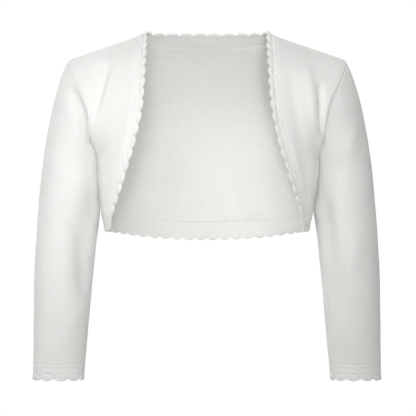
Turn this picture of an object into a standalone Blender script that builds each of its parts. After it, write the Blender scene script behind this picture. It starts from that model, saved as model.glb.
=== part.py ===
"""A child's open-front knitted bolero with long sleeves, filled out as if worn.

Millimetres in the tables, metres in the finished meshes.
+X is the wearer's left, -Y the front, +Z up. Height 0 is the middle of the shoulder line.
"""
import math

import bmesh
import bpy
from mathutils import Vector

# Steps of each curve before its points are shared out
CURVE_STEPS = 60

# Cloth
WALL = 1.6
SEAM_GAP = 0.3
MITRE_LIMIT = 2.6
SHARPEST_CORNER = 0.4
IVORY = (0.86, 0.85, 0.80, 1.0)
ROUGHNESS = 0.9

# Scallops: one panel row or column to a scallop along the neck, fronts and back hem
SIDE_ROWS = 6
ARMHOLE_ROWS = 11
PANEL_ROWS = SIDE_ROWS + ARMHOLE_ROWS
NECK_COLUMNS = 6
SHOULDER_COLUMNS = 5
HALF_COLUMNS = NECK_COLUMNS + SHOULDER_COLUMNS
SCALLOP_STEPS = 4
SCALLOP_DEPTH = 3.0
SCALLOP_ROUNDNESS = 0.8
NECK_SHARES = (0.0, 0.17, 0.34, 0.51, 0.68, 0.84, 1.0)
FRONT_HEM_SCALLOPS = 2
FRONT_HEM_STEPS = 2
CUFF_SCALLOPS = 11

# Body of the garment below the armholes, as rounded sections
TORSO_ROUNDNESS = 2.3
SIDE_SEAM_Y = 4.0
UNDERARM_Z = -112.0
UNDERARM_SAG = 9.0
SAG_TURN = 0.28
HEM_SEAM_SIDE_Z = -177.5
HEM_SEAM_BACK_Z = -184.0
HEM_EDGE_SIDE_Z = -194.0
HEM_EDGE_BACK_Z = -204.0
# Free corner of the hem band at the front opening: x, y, z
HEM_CORNER = (100.5, -26.0, -192.0)
# height, half width, depth forward of the side seam, depth behind it
TORSO = (
    (-204.0, 103.5, 75.0, 66.5),
    (-192.0, 106.0, 76.0, 67.0),
    (-177.5, 109.7, 77.0, 68.0),
    (-163.0, 112.0, 77.8, 70.0),
    (-132.0, 116.8, 78.8, 72.5),
    (-112.0, 120.0, 79.0, 73.0),
    (-60.0, 124.0, 77.0, 73.0),
)

# Armhole from the underarm to the shoulder end: x, y, z
ARMHOLE_FRONT = (
    (120.0, 4.0, -112.0),
    (119.8, -14.0, -109.0),
    (120.4, -30.0, -99.5),
    (121.2, -40.5, -83.0),
    (123.4, -42.0, -66.0),
    (128.5, -36.0, -51.0),
    (134.2, -27.5, -39.5),
    (140.0, -17.0, -27.5),
    (144.3, -8.0, -17.6),
)
ARMHOLE_BACK = (
    (120.0, 4.0, -112.0),
    (119.8, 20.0, -109.5),
    (120.6, 34.0, -99.5),
    (123.0, 43.0, -84.0),
    (127.0, 43.5, -66.0),
    (132.5, 36.0, -49.0),
    (138.6, 22.0, -32.0),
    (143.3, 6.0, -16.8),
    (144.2, 0.0, -14.6),
    (144.3, -8.0, -17.6),
)

# Seam of the front band, from the hem seam up to the shoulder seam: x, y, z
FRONT_SEAM = (
    (104.7, -24.5, -177.5),
    (102.8, -34.5, -158.1),
    (97.3, -45.1, -139.8),
    (92.4, -52.3, -121.2),
    (86.9, -56.8, -102.6),
    (82.5, -57.6, -84.4),
    (79.3, -56.0, -66.7),
    (77.4, -49.0, -42.8),
    (77.0, -36.2, -21.5),
    (76.9, -20.5, -5.6),
    (77.1, -8.0, 4.6),
)
# Free edge of the front band, at the scallop tips, over the same length
FRONT_EDGE = (
    (97.3, -37.5, -177.2),
    (93.9, -43.8, -165.9),
    (86.4, -53.0, -146.4),
    (80.2, -59.0, -126.7),
    (73.8, -62.5, -107.2),
    (69.0, -63.5, -87.3),
    (65.2, -61.0, -67.8),
    (63.0, -53.0, -41.9),
    (62.4, -39.0, -19.8),
    (61.9, -20.0, -0.9),
    (61.9, -8.0, 9.2),
)

# Back neck: seam line and free edge, both rounded at the shoulders
NECK_SEAM_HALF_WIDTH = 77.2
NECK_SEAM_BACK_Y = 44.0
NECK_SEAM_BACK_Z = 3.6
NECK_SEAM_RIDGE_Z = 8.0
NECK_SEAM_ROUNDNESS = 2.7
NECK_EDGE_HALF_WIDTH = 61.9
NECK_EDGE_BACK_Y = 34.0
NECK_EDGE_BACK_Z = 16.6
NECK_EDGE_RIDGE_Z = 16.0
NECK_EDGE_ROUNDNESS = 3.2

# Control rows of the upper back: row, centre y, centre z, turn at the armhole, fullness, drop
UPPER_BACK = (
    (10, 72.5, -58.0, 60.0, 92.0, 2.0),
    (13, 61.0, -27.0, 35.0, 84.0, 2.5),
)
BACK_CENTRE_UNDERARM_Z = -100.0
CENTRE_PULL = 1.2
ROW_EASING = 4
# Row just below the shoulder and neck seams: column, move in x, y, z from the seam
BELOW_TOP = (
    (0, 0.0, 6.5, -10.0),
    (3, 2.5, 7.5, -9.0),
    (4, 5.0, 8.0, -6.5),
    (5, 3.0, 8.0, -1.2),
    (6, 5.0, 9.5, 1.4),
    (7, 0.0, 10.0, 4.0),
    (11, 0.0, 10.0, 4.0),
)
# Share of the underarm row's roundness kept in the rows above it: row, share
FRONT_SWELL = ((6, 1.0), (9, 0.75), (12, 0.45), (15, 0.2), (17, 0.0))

# Sleeve below the armhole: height, outermost x, width, centre y, depth front to back
SLEEVE = (
    (-127.0, 172.2, 66.0, 3.0, 80.0),
    (-166.0, 176.0, 66.0, 3.0, 76.0),
    (-188.0, 177.7, 62.6, 1.0, 72.0),
    (-226.0, 179.6, 60.6, -3.0, 66.0),
    (-251.0, 180.2, 59.0, -6.0, 62.0),
    (-290.0, 180.1, 55.4, -11.0, 54.0),
    (-330.0, 180.4, 52.4, -15.0, 44.0),
    (-348.0, 180.2, 50.9, -16.5, 41.0),
)
SLEEVE_COLUMNS = 2 * ARMHOLE_ROWS
CAP_ROWS = 7
SLEEVE_ROWS = 14
SLEEVE_CLEARANCE = 2.9
# The clearance is kept from just above the underarm down to the hem
CLEAR_BELOW_Z = -106.0
CUFF_SEAM_Z = -330.0
CUFF_EDGE_Z = -348.0
# First direction of the sleeve at the underarm, sides and shoulder: outward, down, pull
CAP_LEAVE = ((0.95, 0.30, 0.6), (0.80, 0.60, 0.7), (0.55, 0.83, 0.6))
CAP_ARRIVE = 0.9

FOLD_FADE_ROWS = 3
# Width of one degree round the sleeve, for the folds
SLEEVE_DEGREE = 0.55
# Folds as soft lines in front view: x, z of each end, height out of the cloth, half width
FRONT_RIGHT_FOLDS = (
    (-104.0, -20.0, -117.0, -75.0, -2.6, 7.0),
    (-120.0, -40.0, -116.0, -110.0, 2.0, 7.0),
)
FRONT_LEFT_FOLDS = (
    (85.0, -30.0, 98.0, -100.0, -2.4, 6.0),
    (98.0, -100.0, 110.0, -150.0, -1.8, 6.0),
    (106.0, -30.0, 116.0, -85.0, 2.8, 8.0),
)
BACK_FOLDS = (
    (-40.0, -90.0, -55.0, -184.0, -1.8, 9.0),
    (-5.0, -100.0, 0.0, -184.0, 1.6, 10.0),
    (38.0, -95.0, 50.0, -184.0, -2.0, 9.0),
    (-104.0, -98.0, -88.0, -150.0, -2.0, 9.0),
    (102.0, -102.0, 86.0, -155.0, -2.2, 9.0),
)
# Sleeve folds: height, turn round the sleeve at each end, height out of the cloth, half width
SLEEVE_RIGHT_FOLDS = (
    (-176.0, 20.0, -240.0, 95.0, -2.4, 11.0),
    (-150.0, 60.0, -120.0, 130.0, 2.0, 11.0),
    (-205.0, 330.0, -240.0, 250.0, -2.2, 11.0),
    (-60.0, 95.0, -120.0, 60.0, -2.2, 9.0),
)
SLEEVE_LEFT_FOLDS = (
    (-124.0, 75.0, -87.0, 125.0, 2.6, 10.0),
    (-245.0, 60.0, -203.0, 125.0, 2.4, 12.0),
    (-210.0, 320.0, -250.0, 245.0, -2.2, 11.0),
    (-60.0, 90.0, -125.0, 45.0, -2.6, 9.0),
)


def mix(a, b, share):
    return a + (b - a) * share


def from_table(table, value):
    """The other columns of a table, in proportion between its rows."""
    rows = sorted(table)
    value = min(max(value, rows[0][0]), rows[-1][0])
    for low, high in zip(rows, rows[1:]):
        if value <= high[0]:
            share = (value - low[0]) / (high[0] - low[0])
            return [mix(a, b, share) for a, b in zip(low[1:], high[1:])]


def through(points, marks, mark):
    """A smooth line through points placed at marks, read at one mark."""
    last = len(points) - 1
    i = 0
    while i < last - 1 and mark > marks[i + 1]:
        i += 1

    def slope(k):
        if k == 0:
            return (points[1] - points[0]) / (marks[1] - marks[0])
        if k == last:
            return (points[last] - points[last - 1]) / (marks[last] - marks[last - 1])
        before = marks[k] - marks[k - 1]
        after = marks[k + 1] - marks[k]
        rise_before = (points[k] - points[k - 1]) / before
        rise_after = (points[k + 1] - points[k]) / after
        return (rise_before * after + rise_after * before) / (before + after)

    span = marks[i + 1] - marks[i]
    return arc(points[i], points[i + 1], slope(i) * span, slope(i + 1) * span,
               (mark - marks[i]) / span)


def arc(start, end, leave, arrive, share):
    """A curve between two points from its directions at both ends."""
    square = share * share
    cube = square * share
    return (start * (2 * cube - 3 * square + 1) + leave * (cube - 2 * square + share)
            + end * (3 * square - 2 * cube) + arrive * (cube - square))


def lengths_along(line):
    total = [0.0]
    for a, b in zip(line, line[1:]):
        total.append(total[-1] + (b - a).length)
    return total


def smooth_line(table, steps=10):
    points = [Vector(row) for row in table]
    marks = lengths_along(points)
    line = []
    for low, high in zip(marks, marks[1:]):
        line += [through(points, marks, mix(low, high, k / steps)) for k in range(steps)]
    return line + [points[-1]]


def shared_out(line, shares):
    """Points on a line at shares of its length."""
    total = lengths_along(line)
    out = []
    i = 0
    for share in shares:
        want = share * total[-1]
        while i < len(line) - 2 and total[i + 1] < want:
            i += 1
        step = total[i + 1] - total[i]
        out.append(mix(line[i], line[i + 1], (want - total[i]) / step))
    return out


def even(count):
    return [k / count for k in range(count + 1)]


def finer(values, steps):
    out = []
    for a, b in zip(values, values[1:]):
        out += [mix(a, b, k / steps) for k in range(steps)]
    return out + [values[-1]]


# The garment's rounded body


def torso_point(turn, height):
    """Turn 0 is the centre back, a quarter turn the side, half a turn the centre front."""
    half_width, front, back = from_table(TORSO, height)
    across = math.sin(turn)
    ahead = math.cos(turn)
    power = 2 / TORSO_ROUNDNESS
    depth = math.copysign((back if ahead >= 0 else front) * abs(ahead) ** power, ahead)
    return Vector((half_width * max(across, 0.0) ** power, SIDE_SEAM_Y + depth, height))


def torso_side(y, height):
    half_width, front, back = from_table(TORSO, height)
    share = abs(y - SIDE_SEAM_Y) / (back if y >= SIDE_SEAM_Y else front)
    return half_width * max(1 - share ** TORSO_ROUNDNESS, 0.0) ** (1 / TORSO_ROUNDNESS)


def sag_at(turn, row):
    """Drop of a row near the side seam, which leaves room below the armhole curve."""
    share = abs(turn - math.pi / 2) / SAG_TURN
    return UNDERARM_SAG * (row / SIDE_ROWS) ** 2 * share * math.exp(1 - share)


def torso_row(side_z, back_z, row=0):
    line = []
    for k in range(CURVE_STEPS + 1):
        turn = math.pi / 2 * k / CURVE_STEPS
        height = mix(side_z, back_z, math.cos(turn) ** 2) - sag_at(turn, row)
        line.append(torso_point(turn, height))
    return line


def side_seam():
    heights = [mix(HEM_SEAM_SIDE_Z, UNDERARM_Z, share) for share in even(SIDE_ROWS)]
    return [torso_point(math.pi / 2, z) for z in heights]


def panel_edge(armhole):
    """Side seam and half the armhole, from the hem seam to the shoulder end."""
    return side_seam() + shared_out(smooth_line(armhole), even(ARMHOLE_ROWS))[1:]


def neck_line(half_width, back_y, back_z, ridge_z, roundness, front_end):
    """From the centre back round to the shoulder, then forward to the shoulder seam."""
    line = []
    for k in range(CURVE_STEPS + 1):
        turn = math.pi / 2 * k / CURVE_STEPS
        height = mix(ridge_z, back_z, math.cos(turn) ** 2)
        line.append(Vector((half_width * math.sin(turn) ** (2 / roundness),
                            back_y * max(math.cos(turn), 0.0) ** (2 / roundness), height)))
    return line + [Vector(front_end)]


def neck_seam():
    return neck_line(NECK_SEAM_HALF_WIDTH, NECK_SEAM_BACK_Y, NECK_SEAM_BACK_Z,
                     NECK_SEAM_RIDGE_Z, NECK_SEAM_ROUNDNESS, FRONT_SEAM[-1])


def neck_edge():
    return neck_line(NECK_EDGE_HALF_WIDTH, NECK_EDGE_BACK_Y, NECK_EDGE_BACK_Z,
                     NECK_EDGE_RIDGE_Z, NECK_EDGE_ROUNDNESS, FRONT_EDGE[-1])


def shoulder_seam():
    start = Vector(FRONT_SEAM[-1])
    end = Vector(ARMHOLE_FRONT[-1])
    return [mix(start, end, share) for share in even(SHOULDER_COLUMNS)]


# Folds


def fold_height(folds, x, z):
    """Height of the folds at a place, each a soft ridge or trough along its line."""
    total = 0.0
    for x0, z0, x1, z1, height, half_width in folds:
        run = Vector((x1 - x0, z1 - z0))
        place = Vector((x - x0, z - z0))
        along = place.dot(run) / run.length_squared
        nearest = run * min(max(along, 0.0), 1.0)
        far = (place - nearest).length / half_width
        total += height * math.exp(-far * far)
    return total


def with_folds(grid, folds, wraps, place):
    """The grid moved out and in by the folds, still at the seams."""
    normals = own_normals(grid, wraps)
    out = []
    for r, row in enumerate(grid):
        fade = min(r, len(grid) - 1 - r, FOLD_FADE_ROWS) / FOLD_FADE_ROWS
        line = []
        for c, point in enumerate(row):
            edge = 1.0 if wraps else min(c, len(row) - 1 - c, 1)
            height = fold_height(folds, *place(point)) * fade * edge
            line.append(point + normals[r][c] * height)
        out.append(line)
    return out


# Panels as grids of points


def back_half():
    """Half the back from the centre to the wearer's left side, row by row from the hem."""
    edge = panel_edge(ARMHOLE_BACK)
    columns = even(HALF_COLUMNS)
    rows = {}
    rows[0] = shared_out(torso_row(HEM_SEAM_SIDE_Z, HEM_SEAM_BACK_Z), columns)
    middle_z = (HEM_SEAM_SIDE_Z + UNDERARM_Z) / 2
    middle_back_z = (HEM_SEAM_BACK_Z + BACK_CENTRE_UNDERARM_Z) / 2
    middle = torso_row(middle_z, middle_back_z, SIDE_ROWS // 2)
    rows[SIDE_ROWS // 2] = shared_out(middle, columns)
    underarm = torso_row(UNDERARM_Z, BACK_CENTRE_UNDERARM_Z, SIDE_ROWS)
    rows[SIDE_ROWS] = shared_out(underarm, columns)
    for row, centre_y, centre_z, turn, fullness, drop in UPPER_BACK:
        centre = Vector((0.0, centre_y, centre_z))
        end = edge[row]
        turn = math.radians(turn)
        leave = Vector((CENTRE_PULL * end.x, 0.0, 0.0))
        arrive = Vector((math.cos(turn) * fullness, -math.sin(turn) * fullness,
                         drop * (end.z - centre.z)))
        line = [arc(centre, end, leave, arrive, share) for share in even(CURVE_STEPS)]
        rows[row] = shared_out(line, columns)
    top = shared_out(neck_seam(), NECK_SHARES) + shoulder_seam()[1:]
    moves = [Vector(from_table(BELOW_TOP, c)) for c in range(HALF_COLUMNS + 1)]
    rows[PANEL_ROWS - 1] = [point + move for point, move in zip(top, moves)]
    rows[PANEL_ROWS] = top
    marks = sorted(rows)
    grid = []
    for r in range(PANEL_ROWS + 1):
        line = [through([rows[m][c] for m in marks], marks, r) for c in range(HALF_COLUMNS)]
        line.append(edge[r])
        grid.append(eased(line, min(max(r - SIDE_ROWS, 0) // 2, ROW_EASING)))
    grid[PANEL_ROWS] = top
    return grid


def eased(line, times):
    """The row with its corners softened, still at both ends."""
    for _ in range(times):
        line = [line[0]] + [line[c] / 2 + (line[c - 1] + line[c + 1]) / 4
                            for c in range(1, len(line) - 1)] + [line[-1]]
    return line


def back_grid():
    half = back_half()
    whole = [[mirrored(p) for p in reversed(row[1:])] + row for row in half]
    return with_folds(whole, BACK_FOLDS, False, lambda p: (p.x, p.z))


def front_grid(folds, side):
    """A front from the side and armhole to the band seam, row by row from the hem."""
    edge = panel_edge(ARMHOLE_FRONT)
    seam = shared_out(smooth_line(FRONT_SEAM), even(PANEL_ROWS))
    columns = even(SHOULDER_COLUMNS)
    grid = []
    for r in range(PANEL_ROWS):
        if r <= SIDE_ROWS:
            row = front_torso_row(edge[r], seam[r], r)
            swell = [p - mix(row[0], row[-1], share) for p, share in zip(row, columns)]
        else:
            keep = from_table(FRONT_SWELL, r)[0]
            row = [mix(edge[r], seam[r], share) + out * keep
                   for out, share in zip(swell, columns)]
        grid.append(row)
    grid.append(list(reversed(shoulder_seam())))
    if side < 0:
        grid = [[mirrored(p) for p in row] for row in grid]
    return with_folds(grid, folds, False, lambda p: (p.x, p.z))


def front_torso_row(start, end, row):
    """Along the rounded section from the side seam to the front band seam."""
    share_out = min(end.x / from_table(TORSO, end.z)[0], 1.0)
    last_turn = math.pi - math.asin(share_out ** (TORSO_ROUNDNESS / 2))
    line = []
    for k in range(CURVE_STEPS + 1):
        turn = mix(math.pi / 2, last_turn, k / CURVE_STEPS)
        height = mix(start.z, end.z, k / CURVE_STEPS) - sag_at(turn, row)
        line.append(torso_point(turn, height))
    miss = end - line[-1]
    line = [point + miss * (k / CURVE_STEPS) ** 2 for k, point in enumerate(line)]
    return shared_out(line, even(SHOULDER_COLUMNS))


def mirrored(point):
    return Vector((-point.x, point.y, point.z))


def sleeve_ring(height, columns):
    outer, width, centre_y, depth = from_table(SLEEVE, height)
    ring = []
    for j in range(columns):
        turn = 2 * math.pi * j / columns
        point = Vector((outer - width / 2 - width / 2 * math.cos(turn),
                        centre_y - depth / 2 * math.sin(turn), height))
        clear = torso_side(point.y, height) + SLEEVE_CLEARANCE
        if height > HEM_EDGE_BACK_Z:
            point.x = max(point.x, clear)
        ring.append(point)
    return ring


def sleeve_grid(folds, side):
    """Rings from the armhole down to the cuff seam, each starting at the underarm."""
    front = shared_out(smooth_line(ARMHOLE_FRONT), even(ARMHOLE_ROWS))
    back = shared_out(smooth_line(ARMHOLE_BACK), even(ARMHOLE_ROWS))
    armhole = front + list(reversed(back))[1:-1]
    top_z = SLEEVE[0][0]
    below = [sleeve_ring(mix(top_z, CUFF_SEAM_Z, share), SLEEVE_COLUMNS)
             for share in even(SLEEVE_ROWS)]
    grid = [armhole]
    for k in range(1, CAP_ROWS):
        row = []
        for j, start in enumerate(armhole):
            end = below[0][j]
            reach = (end - start).length
            rise = (1 - math.cos(2 * math.pi * j / SLEEVE_COLUMNS))
            outward, down, pull = from_table(
                [(n,) + leave for n, leave in enumerate(CAP_LEAVE)], rise)
            leave = Vector((outward, 0.0, -down)) * reach * pull
            along = (below[1][j] - end).normalized()
            row.append(arc(start, end, leave, along * reach * CAP_ARRIVE, k / CAP_ROWS))
        grid.append(row)
    grid += below
    for row in grid[1:]:
        for point in row:
            if HEM_EDGE_BACK_Z < point.z < CLEAR_BELOW_Z:
                point.x = max(point.x, torso_side(point.y, point.z) + SLEEVE_CLEARANCE)
    if side < 0:
        grid = [[mirrored(p) for p in row] for row in grid]

    def place(point):
        outer, width, centre_y, depth = from_table(SLEEVE, point.z)
        turn = math.degrees(math.atan2(centre_y - point.y, outer - width / 2 - abs(point.x)))
        return point.z, turn % 360 * SLEEVE_DEGREE

    lines = [(z0, t0 * SLEEVE_DEGREE, z1, t1 * SLEEVE_DEGREE, height, half)
             for z0, t0, z1, t1, height, half in folds]
    return with_folds(grid, lines, True, place)


# Normals


def own_normals(grid, wraps, sums=None):
    """Outward normal at each point, added into sums so that pieces share them at seams."""
    last = len(grid) - 1
    count = len(grid[0])
    raw = [[Vector() for _ in row] for row in grid]
    outward = 0.0
    for r in range(last):
        for c in range(count if wraps else count - 1):
            n = (c + 1) % count
            corners = (grid[r][c], grid[r][n], grid[r + 1][n], grid[r + 1][c])
            face = (corners[2] - corners[0]).cross(corners[3] - corners[1])
            middle = sum(corners, Vector()) / 4
            outward += face.dot(middle - centre_of(grid, r, wraps))
            for row, column in ((r, c), (r, n), (r + 1, n), (r + 1, c)):
                raw[row][column] += face.normalized()
    sign = 1 if outward > 0 else -1
    for r, row in enumerate(grid):
        for c, point in enumerate(row):
            raw[r][c] *= sign
            if sums is not None:
                sums[key(point)] = sums.get(key(point), Vector()) + raw[r][c].normalized()
    return [[normal.normalized() for normal in row] for row in raw]


def centre_of(grid, r, wraps):
    if wraps:
        return sum(grid[r], Vector()) / len(grid[r])
    return Vector((0.0, SIDE_SEAM_Y, grid[r][0].z))


def key(point):
    return tuple(round(value, 3) for value in point)


def shared_normals(grid, wraps, sums):
    return [[sums[key(point)].normalized() for point in row] for row in grid]


# Solids


def edge_loops(grid, wraps):
    rows = len(grid)
    count = len(grid[0])
    if wraps:
        return [[(0, c) for c in range(count)], [(rows - 1, c) for c in range(count)]]
    loop = [(0, c) for c in range(count)]
    loop += [(r, count - 1) for r in range(1, rows)]
    loop += [(rows - 1, c) for c in range(count - 2, -1, -1)]
    return [loop + [(r, 0) for r in range(rows - 2, 0, -1)]]


def drawn_in(grid, normals, wraps):
    """The grid with its edges moved in by half the seam gap, square to each seam."""
    out = [list(row) for row in grid]
    last = len(grid) - 1
    for loop in edge_loops(grid, wraps):
        r, c = loop[1]
        inner = grid[r + 1][c] if r < last else grid[r - 1][c]
        step = grid[loop[2][0]][loop[2][1]] - grid[r][c]
        sign = 1 if normals[r][c].cross(step).dot(inner - grid[r][c]) > 0 else -1
        for i, (r, c) in enumerate(loop):
            before = grid[loop[i - 1][0]][loop[i - 1][1]]
            after_at = loop[(i + 1) % len(loop)]
            after = grid[after_at[0]][after_at[1]]
            point = grid[r][c]
            first = normals[r][c].cross(point - before).normalized()
            second = normals[r][c].cross(after - point).normalized()
            square = (first + second) / max(1 + first.dot(second), SHARPEST_CORNER)
            out[r][c] = point + square * sign * SEAM_GAP / 2
    return out


def solid(name, grid, normals, wraps, collection):
    """A closed cloth wall on both sides of the grid."""
    own = own_normals(grid, wraps)
    grid = drawn_in(grid, normals, wraps)
    rows = len(grid)
    count = len(grid[0])
    points = []
    for offset in (WALL / 2, -WALL / 2):
        for r in range(rows):
            for c in range(count):
                mitre = 1 / max(own[r][c].dot(normals[r][c]), 1 / MITRE_LIMIT)
                points.append((grid[r][c] + normals[r][c] * offset * mitre) / 1000)
    under = rows * count
    faces = []
    for r in range(rows - 1):
        for c in range(count if wraps else count - 1):
            n = (c + 1) % count
            quad = (r * count + c, r * count + n, (r + 1) * count + n, (r + 1) * count + c)
            across = (points[quad[0]] - points[quad[2]]).length
            if across < (points[quad[1]] - points[quad[3]]).length:
                halves = ((quad[0], quad[1], quad[2]), (quad[0], quad[2], quad[3]))
            else:
                halves = ((quad[0], quad[1], quad[3]), (quad[1], quad[2], quad[3]))
            for half in halves:
                faces.append(half)
                faces.append(tuple(under + i for i in reversed(half)))
    for loop in edge_loops(grid, wraps):
        for (r, c), (next_r, next_c) in zip(loop, loop[1:] + loop[:1]):
            a = r * count + c
            b = next_r * count + next_c
            faces.append((a, b, under + b, under + a))
    mesh = bpy.data.meshes.new(name)
    mesh.from_pydata(points, [], faces)
    face_out(mesh)
    body = bpy.data.objects.new(name, mesh)
    collection.objects.link(body)
    body.data.materials.append(knit_material(name))
    return body


def face_out(mesh):
    work = bmesh.new()
    work.from_mesh(mesh)
    bmesh.ops.recalc_face_normals(work, faces=work.faces)
    work.to_mesh(mesh)
    work.free()


def knit_material(name):
    material = bpy.data.materials.new(name + "_knit")
    material.use_nodes = True
    shader = material.node_tree.nodes["Principled BSDF"]
    shader.inputs["Base Color"].default_value = IVORY
    shader.inputs["Roughness"].default_value = ROUGHNESS
    return material


# Bands


def scallop(phase):
    """How far the free edge draws back at a place in a scallop, 0 to 1."""
    return 1 - math.sin(math.pi * (phase % 1.0)) ** SCALLOP_ROUNDNESS


def band_grid(seam, tips, phases):
    """Seam row, middle row and scalloped free edge."""
    rows = [list(seam), [], []]
    for start, tip, phase in zip(seam, tips, phases):
        reach = tip - start
        edge = tip - reach.normalized() * SCALLOP_DEPTH * scallop(phase)
        rows[1].append(mix(start, edge, 0.5))
        rows[2].append(edge)
    return rows


def band_normals(grid, seam_normals, wraps):
    normals = own_normals(grid, wraps)
    normals[0] = [normal.normalized() for normal in seam_normals]
    return normals


def neck_front_band(panels, sums, collection):
    """One strip from the right front hem round the neck to the left front hem."""
    right = [row[-1] for row in panels["front_right"]]
    left = [row[-1] for row in panels["front_left"]]
    top = panels["back"][-1]
    neck = top[SHOULDER_COLUMNS:-SHOULDER_COLUMNS]
    seam = right + neck[1:-1] + list(reversed(left))
    front_tips = shared_out(smooth_line(FRONT_EDGE), even(PANEL_ROWS * SCALLOP_STEPS))
    neck_tips = shared_out(neck_edge(), finer(NECK_SHARES, SCALLOP_STEPS))
    tips = [mirrored(p) for p in front_tips] + [mirrored(p) for p in neck_tips[-2::-1]]
    tips += neck_tips[1:] + front_tips[-2::-1]
    fine_seam = finer(seam, SCALLOP_STEPS)
    normals = finer([sums[key(point)].normalized() for point in seam], SCALLOP_STEPS)
    grid = band_grid(fine_seam, tips, [k / SCALLOP_STEPS for k in range(len(tips))])
    normals = band_normals(grid, normals, False)
    solid("neck_front_band", grid, normals, False, collection)
    return grid, normals


def hem_band(panels, sums, strip, strip_normals, collection):
    """Round the hem seam, under the ends of the front band, from front edge to front edge."""
    right = panels["front_right"][0]
    left = panels["front_left"][0]
    right_end = [strip[r][0] for r in (2, 1)]
    left_end = [strip[r][-1] for r in (1, 2)]
    right_end_normals = [strip_normals[r][0] for r in (2, 1)]
    left_end_normals = [strip_normals[r][-1] for r in (1, 2)]
    seam = right_end + list(reversed(right)) + panels["back"][0][1:-1] + left + left_end
    inner = seam[2:-2]
    normals = right_end_normals + [sums[key(p)].normalized() for p in inner]
    normals += left_end_normals
    end_steps = len(right_end)
    front_steps = SHOULDER_COLUMNS
    back_steps = 2 * HALF_COLUMNS
    plan = [(1 / end_steps, FRONT_HEM_STEPS)] * end_steps
    plan += [(FRONT_HEM_SCALLOPS / front_steps, FRONT_HEM_STEPS)] * front_steps
    plan = plan + [(1.0, SCALLOP_STEPS)] * back_steps + list(reversed(plan))
    fine_seam, fine_normals, phases = [], [], []
    phase = 0.0
    for i, (share, steps) in enumerate(plan):
        for k in range(steps):
            fine_seam.append(mix(seam[i], seam[i + 1], k / steps))
            fine_normals.append(mix(normals[i], normals[i + 1], k / steps))
            phases.append(phase + share * k / steps)
        phase += share
    fine_seam.append(seam[-1])
    fine_normals.append(normals[-1])
    phases.append(phase)
    total = 1.0 + FRONT_HEM_SCALLOPS
    tips = [hem_tip(value, total, phases[-1]) for value in phases]
    grid = band_grid(fine_seam, tips, phases)
    solid("hem_band", grid, band_normals(grid, fine_normals, False), False, collection)


def hem_tip(phase, front_scallops, all_scallops):
    """Tip line of the hem at a count of scallops from the right front corner."""
    middle = all_scallops / 2
    side = 1 if phase > middle else -1
    from_middle = abs(phase - middle)
    back_scallops = middle - front_scallops
    if from_middle <= back_scallops:
        line = torso_row(HEM_EDGE_SIDE_Z, HEM_EDGE_BACK_Z)
        point = shared_out(line, [from_middle / back_scallops])[0]
    else:
        share = (from_middle - back_scallops) / front_scallops
        corner = Vector(HEM_CORNER)
        start = torso_point(math.pi / 2, HEM_EDGE_SIDE_Z)
        y = mix(start.y, corner.y, share)
        z = mix(start.z, corner.z, share)
        point = Vector((torso_side(y, z), y, z))
    return point if side > 0 else mirrored(point)


def cuff_band(name, sleeve, sums, side, collection):
    seam_row = sleeve[-1]
    steps = SCALLOP_STEPS * CUFF_SCALLOPS // SLEEVE_COLUMNS
    closed = list(seam_row) + [seam_row[0]]
    seam = finer(closed, steps)[:-1]
    normals = finer([sums[key(p)].normalized() for p in closed], steps)[:-1]
    tips = sleeve_ring(CUFF_EDGE_Z, SLEEVE_COLUMNS * steps)
    if side < 0:
        tips = [mirrored(p) for p in tips]
    grid = band_grid(seam, tips, [k / SCALLOP_STEPS for k in range(len(seam))])
    solid(name, grid, band_normals(grid, normals, True), True, collection)


# Build


def build():
    for old in list(bpy.data.objects):
        bpy.data.objects.remove(old)
    collection = bpy.data.collections.new("bolero")
    bpy.context.scene.collection.children.link(collection)
    panels = {
        "back": back_grid(),
        "front_right": front_grid(FRONT_RIGHT_FOLDS, -1),
        "front_left": front_grid(FRONT_LEFT_FOLDS, 1),
    }
    sleeves = {
        "sleeve_right": sleeve_grid(SLEEVE_RIGHT_FOLDS, -1),
        "sleeve_left": sleeve_grid(SLEEVE_LEFT_FOLDS, 1),
    }
    panel_sums = {}
    sleeve_sums = {}
    for grid in panels.values():
        own_normals(grid, False, panel_sums)
    for grid in sleeves.values():
        own_normals(grid, True, sleeve_sums)
    sums = {at: total.normalized() for at, total in panel_sums.items()}
    for at, total in sleeve_sums.items():
        sums[at] = sums.get(at, Vector()) + total.normalized()
    for name, grid in panels.items():
        solid(name, grid, shared_normals(grid, False, sums), False, collection)
    for name, grid in sleeves.items():
        solid(name, grid, shared_normals(grid, True, sums), True, collection)
    strip, strip_normals = neck_front_band(panels, sums, collection)
    hem_band(panels, sums, strip, strip_normals, collection)
    cuff_band("cuff_band_right", sleeves["sleeve_right"], sums, -1, collection)
    cuff_band("cuff_band_left", sleeves["sleeve_left"], sums, 1, collection)


build()
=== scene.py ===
"""The looks of a child's ivory knitted bolero, filled out as if worn.

Millimetres in the tables, metres in the finished meshes.
+X is the wearer's left, -Y the front, +Z up. Height 0 is the middle of the shoulder line.
"""

import math

import bmesh
import bpy
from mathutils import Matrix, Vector, noise


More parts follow.
